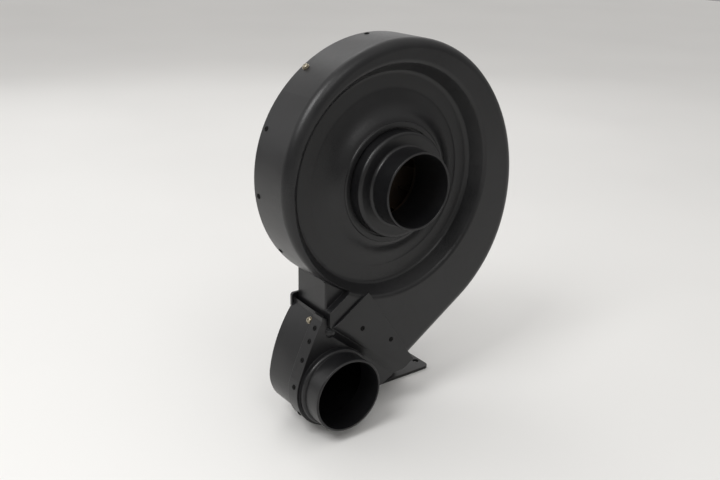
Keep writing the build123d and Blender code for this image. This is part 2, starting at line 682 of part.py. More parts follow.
with BuildPart() as screw_form:
    with BuildSketch(Plane.XZ):
        with BuildLine():
            brim = (SCREW_HEAD, WASHER_THICK + 1.4)
            crown = (1.8, WASHER_THICK + SCREW_CROWN)
            Polyline(
                (0, -SCREW_LENGTH),
                (SCREW_RADIUS - SHANK_GAP, -SCREW_LENGTH),
                (SCREW_RADIUS - SHANK_GAP, WASHER_THICK),
                (SCREW_HEAD, WASHER_THICK),
                brim,
            )
            ThreePointArc(brim, (3.1, WASHER_THICK + 2.3), crown)
            Polyline(crown, (0, WASHER_THICK + SCREW_CROWN), (0, -SCREW_LENGTH))
        make_face()
    revolve(axis=Axis.Z)
    with BuildSketch(Plane.XY.offset(WASHER_THICK + 1.2)):
        Rectangle(CROSS_LENGTH, CROSS_WIDTH)
        Rectangle(CROSS_WIDTH, CROSS_LENGTH)
    extrude(amount=2, mode=Mode.SUBTRACT)

with BuildPart() as washer_form:
    with BuildSketch():
        Circle(WASHER_RADIUS)
        Circle(SCREW_RADIUS + FIT_GAP / 2, mode=Mode.SUBTRACT)
    extrude(amount=WASHER_THICK)

with BuildPart() as casing_rivets:
    with Locations(*[rim_plane(angle, RIM_DEPTH) for angle in RIVET_ANGLES]):
        add(rivet_form.part)
casing_rivets.part.label = "casing_rivets"
export_step(casing_rivets.part, "parts/casing_rivets.step")

with BuildPart() as casing_screws:
    with Locations(*[rim_plane(angle, RIM_DEPTH) for angle in SCREW_ANGLES]):
        add(screw_form.part)
casing_screws.part.label = "casing_screws"
export_step(casing_screws.part, "parts/casing_screws.step")

with BuildPart() as casing_screw_washers:
    with Locations(*[rim_plane(angle, RIM_DEPTH) for angle in SCREW_ANGLES]):
        add(washer_form.part)
casing_screw_washers.part.label = "casing_screw_washers"
export_step(casing_screw_washers.part, "parts/casing_screw_washers.step")

with BuildPart() as elbow_rivets:
    with Locations(*BAND_PLANES):
        add(rivet_form.part)
elbow_rivets.part.label = "elbow_rivets"
export_step(elbow_rivets.part, "parts/elbow_rivets.step")

with BuildPart() as plate_rivets:
    with Locations(*PLATE_PLANES):
        add(rivet_form.part)
plate_rivets.part.label = "plate_rivets"
export_step(plate_rivets.part, "parts/plate_rivets.step")

with BuildPart() as elbow_screw:
    with Locations(ELBOW_SCREW_PLANE):
        add(screw_form.part)
elbow_screw.part.label = "elbow_screw"
export_step(elbow_screw.part, "parts/elbow_screw.step")

with BuildPart() as elbow_screw_washer:
    with Locations(ELBOW_SCREW_PLANE):
        add(washer_form.part)
elbow_screw_washer.part.label = "elbow_screw_washer"
export_step(elbow_screw_washer.part, "parts/elbow_screw_washer.step")

# ---------------------------------------------------------------- impeller
HUB_FLANGE = 3.0
HUB_FLANGE_RADIUS = 30.0
KEY_HALF = 2.0
KEY_LOW, KEY_HIGH = 3.5, 7.5
KEY_START, KEY_END = -28.0, -6.0
NOSE_SCREW_RADIUS = 3.0
NOSE_SCREW_LENGTH = 18.0
NOSE_WASHER = 1.6           # thickness
NOSE_WASHER_RADIUS = 12.0
HUB_RIVET = 2.0             # radius of the hub rivets
HUB_RIVET_HEAD = 3.5
HUB_RIVET_CROWN = 1.5
SHAFT_NOSE_Y = -32.0
RIVET_SPOTS = ring_of(6, HUB_RIVET_CIRCLE, 0)


def key_slot(start, end, mode):
    """Square key between shaft and hub."""
    with BuildSketch(Plane.XZ.offset(-start)) as slot:
        with Locations((0, SHAFT_HEIGHT + (KEY_LOW + KEY_HIGH) / 2)):
            Rectangle(2 * KEY_HALF, KEY_HIGH - KEY_LOW)
    extrude(slot.sketch, amount=start - end, mode=mode)


with BuildPart() as impeller_hub:
    turned(
        (NOSE_RADIUS, -HUB_BACK),
        (HUB_RADIUS, -HUB_BACK),
        (HUB_RADIUS, HUB_FLANGE - BACKPLATE_DEPTH),
        (HUB_FLANGE_RADIUS, HUB_FLANGE - BACKPLATE_DEPTH),
        (HUB_FLANGE_RADIUS, -BACKPLATE_DEPTH),
        (HUB_RADIUS, -BACKPLATE_DEPTH),
        (HUB_RADIUS, 2 - HUB_FRONT),
        (HUB_RADIUS - 2, -HUB_FRONT),
        (NOSE_RADIUS, -HUB_FRONT),
    )
    round_bar(-BACKPLATE_DEPTH, HUB_FLANGE, HUB_RIVET, spots=RIVET_SPOTS, mode=Mode.SUBTRACT)
    key_slot(-HUB_BACK, -HUB_FRONT, Mode.SUBTRACT)
impeller_hub.part.label = "impeller_hub"
export_step(impeller_hub.part, "parts/impeller_hub.step")

with BuildPart() as shaft_key:
    key_slot(KEY_END, KEY_START, Mode.ADD)
shaft_key.part.label = "shaft_key"
export_step(shaft_key.part, "parts/shaft_key.step")

with BuildPart() as impeller_backplate:
    round_bar(-BACKPLATE_DEPTH - BACKPLATE, BACKPLATE, IMPELLER_RADIUS, HUB_RADIUS)
    round_bar(-BACKPLATE_DEPTH - BACKPLATE, BACKPLATE, HUB_RIVET, spots=RIVET_SPOTS, mode=Mode.SUBTRACT)
impeller_backplate.part.label = "impeller_backplate"
export_step(impeller_backplate.part, "parts/impeller_backplate.step")

with BuildPart() as hub_rivets:
    rivet_front = -BACKPLATE_DEPTH - BACKPLATE - HUB_RIVET_CROWN
    rivet_back = HUB_FLANGE - BACKPLATE_DEPTH
    round_bar(rivet_front, rivet_back + HUB_RIVET_CROWN - rivet_front, HUB_RIVET, spots=RIVET_SPOTS)
    round_bar(rivet_front, HUB_RIVET_CROWN, HUB_RIVET_HEAD, spots=RIVET_SPOTS)
    round_bar(rivet_back, HUB_RIVET_CROWN, HUB_RIVET_HEAD, spots=RIVET_SPOTS)
hub_rivets.part.label = "hub_rivets"
export_step(hub_rivets.part, "parts/hub_rivets.step")

BLADE_TIP = IMPELLER_RADIUS - 2.0
BLADE_MIDDLE = 92.0         # radius of the point half-way along a blade
BLADE_LEAN, BLADE_SWEEP = 18.0, 48.0    # turn from the inner edge to that point and to the tip
BLADE_THICK = 1.6
BLADE_SLANT = 1.3           # widening of a blade where it lies across the radius
with BuildSketch() as blade_profile:
    with BuildLine():
        turns = [degrees(BLADE_THICK / radius) for radius in (BLADE_INNER, BLADE_MIDDLE, BLADE_TIP)]
        start = toward(0, BLADE_INNER)
        middle = toward(BLADE_LEAN, BLADE_MIDDLE)
        end = toward(BLADE_SWEEP, BLADE_TIP)
        start_b = toward(turns[0], BLADE_INNER)
        middle_b = toward(BLADE_LEAN + turns[1] * BLADE_SLANT, BLADE_MIDDLE)
        end_b = toward(BLADE_SWEEP + turns[2] * BLADE_SLANT, BLADE_TIP)
        ThreePointArc(start, middle, end)
        Line(end, end_b)
        ThreePointArc(end_b, middle_b, start_b)
        Line(start_b, start)
    make_face()

with BuildPart() as impeller_blades:
    with BuildSketch(face_plane(BACKPLATE_DEPTH + BACKPLATE)):
        with PolarLocations(0, BLADE_COUNT):
            add(blade_profile.sketch)
    extrude(amount=SHROUD_DEPTH - BACKPLATE_DEPTH - BACKPLATE)
impeller_blades.part.label = "impeller_blades"
export_step(impeller_blades.part, "parts/impeller_blades.step")

with BuildPart() as impeller_shroud:
    turned(
        (EYE_RADIUS, -SHROUD_DEPTH),
        (IMPELLER_RADIUS, -SHROUD_DEPTH),
        (IMPELLER_RADIUS, -SHROUD_DEPTH - SHROUD),
        (EYE_RADIUS + SHROUD + 3, -SHROUD_DEPTH - SHROUD),
        (EYE_RADIUS + SHROUD, -SHROUD_DEPTH - SHROUD - 3),
        (EYE_RADIUS + SHROUD, -NOZZLE_DEPTH - 3),
        (EYE_RADIUS, -NOZZLE_DEPTH - 3),
    )
impeller_shroud.part.label = "impeller_shroud"
export_step(impeller_shroud.part, "parts/impeller_shroud.step")

with BuildPart() as impeller_washer:
    round_bar(-HUB_FRONT - NOSE_WASHER, NOSE_WASHER, NOSE_WASHER_RADIUS, NOSE_SCREW_RADIUS + BOLT_GAP)
impeller_washer.part.label = "impeller_washer"
export_step(impeller_washer.part, "parts/impeller_washer.step")

with BuildPart() as impeller_screw:
    round_bar(-HUB_FRONT - NOSE_WASHER, NOSE_SCREW_LENGTH, NOSE_SCREW_RADIUS)
    with BuildSketch(face_plane(HUB_FRONT + NOSE_WASHER)):
        RegularPolygon(HEX_CORNER, 6)
    extrude(amount=HEX_HEAD)
impeller_screw.part.label = "impeller_screw"
export_step(impeller_screw.part, "parts/impeller_screw.step")

# ---------------------------------------------------------------- motor: turning pieces
NECK_Y = 3.0
TAIL_Y = 114.0
SHAFT_TAIL_END = 136.0
with BuildPart() as motor_shaft:
    round_bar(SHAFT_NOSE_Y, NECK_Y - SHAFT_NOSE_Y, NOSE_RADIUS)
    round_bar(NECK_Y, TAIL_Y - NECK_Y, SHAFT_RADIUS)
    round_bar(TAIL_Y, SHAFT_TAIL_END - TAIL_Y, FAN_BORE)
    round_bar(SHAFT_NOSE_Y, 16, NOSE_SCREW_RADIUS, mode=Mode.SUBTRACT)
    key_slot(KEY_END, KEY_START, Mode.SUBTRACT)
motor_shaft.part.label = "motor_shaft"
export_step(motor_shaft.part, "parts/motor_shaft.step")

with BuildPart() as rotor_core:
    round_bar(CORE_START, CORE_END - CORE_START, ROTOR_RADIUS, SHAFT_RADIUS)
rotor_core.part.label = "rotor_core"
export_step(rotor_core.part, "parts/rotor_core.step")

with BuildPart() as cooling_fan:
    round_bar(FAN_START, 2, FAN_RADIUS - 6)
    round_bar(FAN_START, FAN_END - FAN_START, 11)
    with BuildSketch(back_plane(FAN_START)):
        with PolarLocations(26, 8):
            Rectangle(2 * (FAN_RADIUS - 26), 1.8)
    extrude(amount=FAN_END - FAN_START - 2)
    round_bar(FAN_START, FAN_END - FAN_START, FAN_BORE, mode=Mode.SUBTRACT)
cooling_fan.part.label = "cooling_fan"
export_step(cooling_fan.part, "parts/cooling_fan.step")

# ---------------------------------------------------------------- motor: fixed pieces
POCKET_RIM = 24.0
REGISTER = HOUSING_BORE - SHANK_GAP
BEARING_STOP = 9.0
SEAL_RADIUS = 13.0
SEAL_START, SEAL_END = 6.0, 13.0
with BuildPart() as motor_flange:
    turned(
        (SEAL_RADIUS, SEAL_START),
        (SHAFT_HOLE - BOLT_GAP, SEAL_START),
        (SHAFT_HOLE - BOLT_GAP, MOTOR_FACE),
        (FLANGE_RADIUS, MOTOR_FACE),
        (FLANGE_RADIUS, MOTOR_FACE + FLANGE),
        (REGISTER, MOTOR_FACE + FLANGE),
        (REGISTER, MOTOR_FACE + FLANGE + 5),
        (POCKET_RIM, MOTOR_FACE + FLANGE + 5),
        (POCKET_RIM, BEARING_STARTS[0] + BEARING_WIDTH + 1),
        (BEARING_RADIUS, BEARING_STARTS[0] + BEARING_WIDTH + 1),
        (BEARING_RADIUS, BEARING_STARTS[0]),
        (BEARING_STOP, BEARING_STARTS[0]),
        (BEARING_STOP, SEAL_END),
        (SEAL_RADIUS, SEAL_END),
    )
    round_bar(MOTOR_FACE, FLANGE, BOLT_RADIUS, spots=BOLT_SPOTS, mode=Mode.SUBTRACT)
motor_flange.part.label = "motor_flange"
export_step(motor_flange.part, "parts/motor_flange.step")

with BuildPart() as shaft_seal:
    round_bar(SEAL_START, SEAL_END - SEAL_START, SEAL_RADIUS, SHAFT_RADIUS + RUN_GAP)
shaft_seal.part.label = "shaft_seal"
export_step(shaft_seal.part, "parts/shaft_seal.step")

with BuildPart() as front_bearing:
    round_bar(BEARING_STARTS[0], BEARING_WIDTH, BEARING_RADIUS, SHAFT_RADIUS + RUN_GAP)
front_bearing.part.label = "front_bearing"
export_step(front_bearing.part, "parts/front_bearing.step")

with BuildPart() as rear_bearing:
    round_bar(BEARING_STARTS[1], BEARING_WIDTH, BEARING_RADIUS, SHAFT_RADIUS + RUN_GAP)
rear_bearing.part.label = "rear_bearing"
export_step(rear_bearing.part, "parts/rear_bearing.step")

END_SPOTS = ring_of(4, (HOUSING_BORE + HOUSING_RADIUS) / 2)
FIN_START, FIN_END = 28.0, 100.0
with BuildPart() as motor_housing:
    round_bar(MOTOR_FACE + FLANGE, HOUSING_END - MOTOR_FACE - FLANGE, HOUSING_RADIUS)
    with BuildSketch(back_plane(FIN_START)):
        with PolarLocations(HOUSING_RADIUS + 2, 19, start_angle=135, angular_range=270):
            Rectangle(6, 2)
    extrude(amount=FIN_END - FIN_START)
    with BuildSketch(Plane.XY.offset(BOX_FLOOR)):
        with Locations((0, (BOX_START + BOX_END) / 2)):
            Rectangle(56, 48)
    extrude(amount=-12)
    round_bar(MOTOR_FACE + FLANGE, HOUSING_END - MOTOR_FACE - FLANGE, HOUSING_BORE, mode=Mode.SUBTRACT)
    round_bar(HOUSING_END - 12, 12, SMALL_SCREW, spots=END_SPOTS, mode=Mode.SUBTRACT)
    with BuildSketch(Plane.XY.offset(BOX_FLOOR)):
        with Locations((0, (BOX_START + BOX_END) / 2)):
            Circle(WIRE_HOLE)
    extrude(amount=-30, mode=Mode.SUBTRACT)
motor_housing.part.label = "motor_housing"
export_step(motor_housing.part, "parts/motor_housing.step")

WINDING_SPOTS = ring_of(12, 36, 0)
with BuildPart() as stator_core:
    round_bar(CORE_START, CORE_END - CORE_START, HOUSING_BORE, ROTOR_RADIUS + AIR_GAP)
    round_bar(CORE_START, CORE_END - CORE_START, WINDING_RADIUS, spots=WINDING_SPOTS, mode=Mode.SUBTRACT)
stator_core.part.label = "stator_core"
export_step(stator_core.part, "parts/stator_core.step")

with BuildPart() as stator_windings:
    round_bar(CORE_START, CORE_END - CORE_START, WINDING_RADIUS, spots=WINDING_SPOTS)
    round_bar(CORE_START - COIL_END, COIL_END, COIL_OUTER, COIL_INNER)
    round_bar(CORE_END, COIL_END, COIL_OUTER, COIL_INNER)
stator_windings.part.label = "stator_windings"
export_step(stator_windings.part, "parts/stator_windings.step")

with BuildPart() as motor_rear_endshield:
    turned(
        (BEARING_STOP, BEARING_STARTS[1] + BEARING_WIDTH),
        (BEARING_RADIUS, BEARING_STARTS[1] + BEARING_WIDTH),
        (BEARING_RADIUS, BEARING_STARTS[1] - 1),
        (POCKET_RIM - 2, BEARING_STARTS[1] - 1),
        (POCKET_RIM - 2, HOUSING_END - 3),
        (REGISTER, HOUSING_END - 3),
        (REGISTER, HOUSING_END),
        (ENDSHIELD_RADIUS, HOUSING_END),
        (ENDSHIELD_RADIUS, ENDSHIELD_END),
        (BEARING_STOP, ENDSHIELD_END),
    )
    round_bar(HOUSING_END, ENDSHIELD_END - HOUSING_END, SMALL_SCREW + BOLT_GAP, spots=END_SPOTS,
              mode=Mode.SUBTRACT)
    for angle in COWL_SCREW_ANGLES:
        with BuildSketch(skin_plane(toward(angle, ENDSHIELD_RADIUS), toward(angle), -COWL_SCREW_Y)) as hole:
            Circle(SMALL_SCREW)
        extrude(hole.sketch, amount=-5, mode=Mode.SUBTRACT)
motor_rear_endshield.part.label = "motor_rear_endshield"
export_step(motor_rear_endshield.part, "parts/motor_rear_endshield.step")

with BuildPart() as endshield_screws:
    round_bar(HOUSING_END - 11, ENDSHIELD_END - HOUSING_END + 11, SMALL_SCREW - SHANK_GAP, spots=END_SPOTS)
    round_bar(ENDSHIELD_END, SMALL_HEAD_HEIGHT + 0.6, SMALL_HEAD, spots=END_SPOTS)
endshield_screws.part.label = "endshield_screws"
export_step(endshield_screws.part, "parts/endshield_screws.step")

GRILLE_RINGS = (38.0, 30.0, 22.0, 14.0)
GRILLE_SLOT = 4.0
GRILLE_WEB = 4.0
with BuildPart() as fan_cowl:
    cowl_inside = COWL_RADIUS - COWL_SHEET - FIT_GAP
    turned(
        (0, COWL_END),
        (COWL_RADIUS - 6, COWL_END),
        (COWL_RADIUS - 2, COWL_END - 2),
        (COWL_RADIUS, COWL_END - 6),
        (COWL_RADIUS, COWL_START),
        (cowl_inside, COWL_START),
        (cowl_inside, COWL_END - 7),
        (cowl_inside - 2, COWL_END - 3.5),
        (cowl_inside - 5, COWL_END - COWL_SHEET),
        (0, COWL_END - COWL_SHEET),
    )
    with BuildSketch(back_plane(COWL_END - 3)) as grille:
        for radius in GRILLE_RINGS:
            Circle(radius + GRILLE_SLOT / 2)
            Circle(radius - GRILLE_SLOT / 2, mode=Mode.SUBTRACT)
        Rectangle(2 * COWL_RADIUS, GRILLE_WEB, rotation=45, mode=Mode.SUBTRACT)
        Rectangle(2 * COWL_RADIUS, GRILLE_WEB, rotation=-45, mode=Mode.SUBTRACT)
    extrude(grille.sketch, amount=5, mode=Mode.SUBTRACT)
    for angle in COWL_SCREW_ANGLES:
        with BuildSketch(skin_plane(toward(angle, COWL_RADIUS), toward(angle), -COWL_SCREW_Y)) as hole:
            Circle(SMALL_SCREW + BOLT_GAP)
        extrude(hole.sketch, amount=-4, mode=Mode.SUBTRACT)
fan_cowl.part.label = "fan_cowl"
export_step(fan_cowl.part, "parts/fan_cowl.step")

with BuildPart() as cowl_screws:
    for angle in COWL_SCREW_ANGLES:
        with BuildSketch(skin_plane(toward(angle, COWL_RADIUS), toward(angle), -COWL_SCREW_Y)) as shank:
            Circle(SMALL_SCREW - SHANK_GAP)
        extrude(shank.sketch, amount=-6)
        with BuildSketch(skin_plane(toward(angle, COWL_RADIUS), toward(angle), -COWL_SCREW_Y)) as head:
            Circle(SMALL_HEAD)
        extrude(head.sketch, amount=SMALL_HEAD_HEIGHT)
cowl_screws.part.label = "cowl_screws"
export_step(cowl_screws.part, "parts/cowl_screws.step")

# ---------------------------------------------------------------- terminal box
BOX_MIDDLE = (BOX_START + BOX_END) / 2
BOX_LENGTH = BOX_END - BOX_START
LID_SPOT_X, LID_SPOT_Y = 29.0, 23.0
LID_SPOTS = [(x, BOX_MIDDLE + y) for x in (-LID_SPOT_X, LID_SPOT_X) for y in (-LID_SPOT_Y, LID_SPOT_Y)]
with BuildPart() as terminal_box:
    with BuildSketch(Plane.XY.offset(BOX_FLOOR)):
        with Locations((0, BOX_MIDDLE)):
            RectangleRounded(2 * BOX_HALF, BOX_LENGTH, 5)
    extrude(amount=BOX_TOP - BOX_FLOOR)
    with BuildSketch(Plane.XY.offset(BOX_FLOOR + BOX_WALL)):
        with Locations((0, BOX_MIDDLE)):
            RectangleRounded(2 * (BOX_HALF - BOX_WALL), BOX_LENGTH - 2 * BOX_WALL, 3)
    extrude(amount=BOX_TOP, mode=Mode.SUBTRACT)
    with BuildSketch(Plane.XY.offset(BOX_FLOOR)):
        with Locations(*LID_SPOTS):
            Circle(LID_POST)
    extrude(amount=BOX_TOP - BOX_FLOOR)
    with BuildSketch(Plane.XY.offset(BOX_TOP)):
        with Locations(*LID_SPOTS):
            Circle(SMALL_SCREW)
    extrude(amount=-12, mode=Mode.SUBTRACT)
    with BuildSketch(Plane.XY.offset(BOX_FLOOR)):
        with Locations((0, BOX_MIDDLE)):
            Circle(WIRE_HOLE)
    extrude(amount=BOX_WALL, mode=Mode.SUBTRACT)
    with BuildSketch(back_plane(BOX_END - BOX_WALL)):
        with Locations((0, GLAND_Z - SHAFT_HEIGHT)):
            Circle(GLAND_RADIUS)
    extrude(amount=BOX_WALL, mode=Mode.SUBTRACT)
terminal_box.part.label = "terminal_box"
export_step(terminal_box.part, "parts/terminal_box.step")

with BuildPart() as terminal_box_lid:
    with BuildSketch(Plane.XY.offset(BOX_TOP)):
        with Locations((0, BOX_MIDDLE)):
            RectangleRounded(2 * BOX_HALF + 2, BOX_LENGTH + 2, 6)
    extrude(amount=BOX_LID)
    fillet(terminal_box_lid.faces().sort_by(Axis.Z)[-1].edges(), 1.5)
    with BuildSketch(Plane.XY.offset(BOX_TOP)):
        with Locations(*LID_SPOTS):
            Circle(SMALL_SCREW + BOLT_GAP)
    extrude(amount=BOX_LID, mode=Mode.SUBTRACT)
terminal_box_lid.part.label = "terminal_box_lid"
export_step(terminal_box_lid.part, "parts/terminal_box_lid.step")

with BuildPart() as lid_screws:
    with BuildSketch(Plane.XY.offset(BOX_TOP - 10)):
        with Locations(*LID_SPOTS):
            Circle(SMALL_SCREW - SHANK_GAP)
    extrude(amount=BOX_LID + 10)
    with BuildSketch(Plane.XY.offset(BOX_TOP + BOX_LID)):
        with Locations(*LID_SPOTS):
            Circle(SMALL_HEAD)
    extrude(amount=SMALL_HEAD_HEIGHT)
lid_screws.part.label = "lid_screws"
export_step(lid_screws.part, "parts/lid_screws.step")

with BuildPart() as terminal_block:
    with BuildSketch(Plane.XY.offset(BOX_FLOOR + BOX_WALL)):
        with Locations((0, BOX_MIDDLE - 16)):
            Rectangle(42, 14)
    extrude(amount=10)
    with BuildSketch(Plane.XY.offset(BOX_FLOOR + BOX_WALL + 4)):
        with Locations(*[(x, BOX_MIDDLE - 16) for x in (-14, 0, 14)]):
            Circle(3)
    extrude(amount=10, mode=Mode.SUBTRACT)
terminal_block.part.label = "terminal_block"
export_step(terminal_block.part, "parts/terminal_block.step")

with BuildPart() as cable_gland:
    with BuildSketch(back_plane(BOX_END - BOX_WALL - 4)):
        with Locations((0, GLAND_Z - SHAFT_HEIGHT)):
            Circle(GLAND_RADIUS - SHANK_GAP)
    extrude(amount=BOX_WALL + 12)
    with BuildSketch(back_plane(BOX_END)):
        with Locations((0, GLAND_Z - SHAFT_HEIGHT)):
            RegularPolygon(GLAND_NUT, 6)
    extrude(amount=GLAND_NUT_LENGTH)
    with BuildSketch(back_plane(BOX_END + GLAND_NUT_LENGTH)):
        with Locations((0, GLAND_Z - SHAFT_HEIGHT)):
            Circle(GLAND_CAP)
    extrude(amount=GLAND_CAP_LENGTH)
    with BuildSketch(back_plane(BOX_END - BOX_WALL - 4)):
        with Locations((0, GLAND_Z - SHAFT_HEIGHT)):
            Circle(GLAND_BORE)
    extrude(amount=BOX_WALL + 30, mode=Mode.SUBTRACT)
cable_gland.part.label = "cable_gland"
export_step(cable_gland.part, "parts/cable_gland.step")

# ---------------------------------------------------------------- stand, gasket and flange bolts
UPRIGHT_START = MOTOR_FACE - STAND_SHEET
GUSSET_X = 50.0
GUSSET_REACH = 84.0
GUSSET_TOE = 16.0
GUSSET_NECK = 14.0
GUSSET_TOP = 225.0
with BuildPart() as motor_stand:
    with BuildSketch():
        with Locations(((STAND_LEFT + STAND_RIGHT) / 2, (STAND_FRONT + STAND_BACK) / 2)):
            RectangleRounded(STAND_RIGHT - STAND_LEFT, STAND_BACK - STAND_FRONT, 8)
        with Locations(*[(x, y) for x in FOOT_HOLE_X for y in FOOT_HOLE_Y]):
            Circle(FOOT_HOLE_RADIUS, mode=Mode.SUBTRACT)
    extrude(amount=STAND_SHEET)
    with BuildSketch(back_plane(UPRIGHT_START)):
        Circle(STAND_HALF_WIDTH)
        with Locations((0, (STAND_SHEET - SHAFT_HEIGHT) / 2)):
            Rectangle(2 * STAND_HALF_WIDTH, SHAFT_HEIGHT - STAND_SHEET)
        Circle(SHAFT_HOLE, mode=Mode.SUBTRACT)
        with Locations(*BOLT_SPOTS):
            Circle(BOLT_RADIUS, mode=Mode.SUBTRACT)
    extrude(amount=STAND_SHEET)
    for x in (-GUSSET_X, GUSSET_X):
        with BuildSketch(Plane(origin=(x - STAND_SHEET / 2, 0, 0), x_dir=(0, 1, 0), z_dir=(1, 0, 0))):
            with BuildLine():
                Polyline(
                    (MOTOR_FACE, STAND_SHEET),
                    (GUSSET_REACH, STAND_SHEET),
                    (GUSSET_REACH, GUSSET_TOE),
                    (MOTOR_FACE + GUSSET_NECK, GUSSET_TOP),
                    (MOTOR_FACE, GUSSET_TOP),
                    close=True,
                )
            make_face()
        extrude(amount=STAND_SHEET)
motor_stand.part.label = "motor_stand"
export_step(motor_stand.part, "parts/motor_stand.step")

GASKET_RADIUS = 75.0
with BuildPart() as mounting_gasket:
    round_bar(0, UPRIGHT_START, GASKET_RADIUS, SHAFT_HOLE)
    round_bar(0, UPRIGHT_START, BOLT_RADIUS, spots=BOLT_SPOTS, mode=Mode.SUBTRACT)
mounting_gasket.part.label = "mounting_gasket"
export_step(mounting_gasket.part, "parts/mounting_gasket.step")

FLANGE_BACK = MOTOR_FACE + FLANGE
FLANGE_WASHER = 1.2
FLANGE_WASHER_RADIUS = 6.2
NUT_HEIGHT = 5.0
with BuildPart() as flange_bolts:
    round_bar(-WALL, FLANGE_BACK + WALL + FLANGE_WASHER + NUT_HEIGHT + 1.8, BOLT_RADIUS - BOLT_GAP,
              spots=BOLT_SPOTS)
    with BuildSketch(face_plane(WALL)):
        with Locations(*BOLT_SPOTS):
            RegularPolygon(HEX_CORNER, 6)
    extrude(amount=HEX_HEAD)
flange_bolts.part.label = "flange_bolts"
export_step(flange_bolts.part, "parts/flange_bolts.step")

with BuildPart() as flange_washers:
    round_bar(FLANGE_BACK, FLANGE_WASHER, FLANGE_WASHER_RADIUS, BOLT_RADIUS, spots=BOLT_SPOTS)
flange_washers.part.label = "flange_washers"
export_step(flange_washers.part, "parts/flange_washers.step")

with BuildPart() as flange_nuts:
    with BuildSketch(back_plane(FLANGE_BACK + FLANGE_WASHER)):
        with Locations(*BOLT_SPOTS):
            RegularPolygon(HEX_CORNER, 6)
            Circle(BOLT_RADIUS - BOLT_GAP, mode=Mode.SUBTRACT)
    extrude(amount=NUT_HEIGHT)
flange_nuts.part.label = "flange_nuts"
export_step(flange_nuts.part, "parts/flange_nuts.step")
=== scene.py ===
import json
from math import cos, radians, sin

import bmesh
import bpy
from mathutils import Matrix, Vector

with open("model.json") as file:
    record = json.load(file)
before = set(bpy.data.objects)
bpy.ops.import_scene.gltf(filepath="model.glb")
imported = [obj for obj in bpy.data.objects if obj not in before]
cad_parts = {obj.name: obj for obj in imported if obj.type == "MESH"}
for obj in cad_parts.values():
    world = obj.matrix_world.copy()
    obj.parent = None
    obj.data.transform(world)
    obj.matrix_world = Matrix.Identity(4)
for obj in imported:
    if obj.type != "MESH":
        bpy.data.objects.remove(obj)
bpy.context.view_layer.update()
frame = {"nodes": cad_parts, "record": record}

NODES = frame["nodes"]
SLOT_OF = {part["node"]: part["material_slot"] for part in frame["record"]["subparts"]}


# ------------------------------------------------------------------ camera and light
def aim(obj, position, forward, roll=0.0):
    """Place an object so that its -Z looks along forward, rolled about that line."""
    forward = Vector(forward).normalized()
    level = forward.cross(Vector((0, 0, 1))).normalized()
    rise = level.cross(forward)
    right = level * cos(roll) + rise * sin(roll)
    up = rise * cos(roll) - level * sin(roll)
    turn = Matrix((right, up, -forward)).transposed()
    obj.matrix_world = Matrix.Translation(position) @ turn.to_4x4()


def link(name, data):
    obj = bpy.data.objects.new(name, data)
    bpy.context.scene.collection.objects.link(obj)
    return obj


CAMERA_PLACE = (-0.6475, -0.8569, 0.6182)
CAMERA_LOOK = (0.5637, 0.7484, -0.3494)
CAMERA_ROLL = radians(1.28)
FOCAL_LENGTH, SENSOR_WIDTH = 44.14, 36.0        # millimetres
lens = bpy.data.cameras.new("camera")
lens.lens = FOCAL_LENGTH
lens.sensor_width = SENSOR_WIDTH
camera = link("camera", lens)
aim(camera, CAMERA_PLACE, CAMERA_LOOK, CAMERA_ROLL)
bpy.context.scene.camera = camera


def soft_light(name, place, target, side, power):
    """A white square soft box that faces the target."""
    data = bpy.data.lights.new(name, "AREA")
    data.shape = "RECTANGLE"
    data.size = data.size_y = side
    data.energy = power
    aim(link(name, data), place, target - place)


HEART = Vector((0.0, 0.0, 0.25))
LIGHT_REACH = 2.4
SOFT_BOXES = {                      # bearing and height in degrees, side in metres, watts
    "light_key": (195, 50, 0.9, 26.0),
    "light_front": (255, 50, 0.8, 4.5),
    "light_rear_high": (75, 50, 1.0, 5.0),
    "light_rear_right": (45, 20, 1.2, 1.7),
    "light_rear": (90, 20, 1.2, 3.0),
    "light_rear_left": (135, 20, 1.2, 3.8),
}
for light_name, (bearing, height, side, power) in SOFT_BOXES.items():
    turn, lift = radians(bearing), radians(height)
    heading = Vector((cos(turn) * cos(lift), sin(turn) * cos(lift), sin(lift)))
    soft_light(light_name, HEART + heading * LIGHT_REACH, HEART, side, power)


ROOM_WHITE = (1.0, 0.985, 0.97, 1)


def studio_world(low, high, start=0.1, full=0.95):
    """White room light that grows from strength low to high between two heights, straight up being 1."""
    world = bpy.data.worlds.new("studio")
    world.use_nodes = True
    tree = world.node_tree
    direction = tree.nodes.new("ShaderNodeTexCoord").outputs["Generated"]
    parts = tree.nodes.new("ShaderNodeSeparateXYZ")
    tree.links.new(direction, parts.inputs["Vector"])
    rise = tree.nodes.new("ShaderNodeMapRange")
    for key, value in {"From Min": start, "From Max": full, "To Min": low, "To Max": high}.items():
        rise.inputs[key].default_value = value
    tree.links.new(parts.outputs["Z"], rise.inputs["Value"])
    background = tree.nodes["Background"]
    background.inputs["Color"].default_value = ROOM_WHITE
    tree.links.new(rise.outputs["Result"], background.inputs["Strength"])
    bpy.context.scene.world = world


studio_world(low=0.32, high=0.80)
bpy.context.scene.view_settings.view_transform = "Standard"


# ------------------------------------------------------------------ material nodes
MIX_FACTOR, MIX_FIRST, MIX_SECOND = 0, 6, 7     # numbers of the mix node's colour inputs
MIX_RESULT = 2                                  # and of its colour output
EDGE_SAMPLES = 6


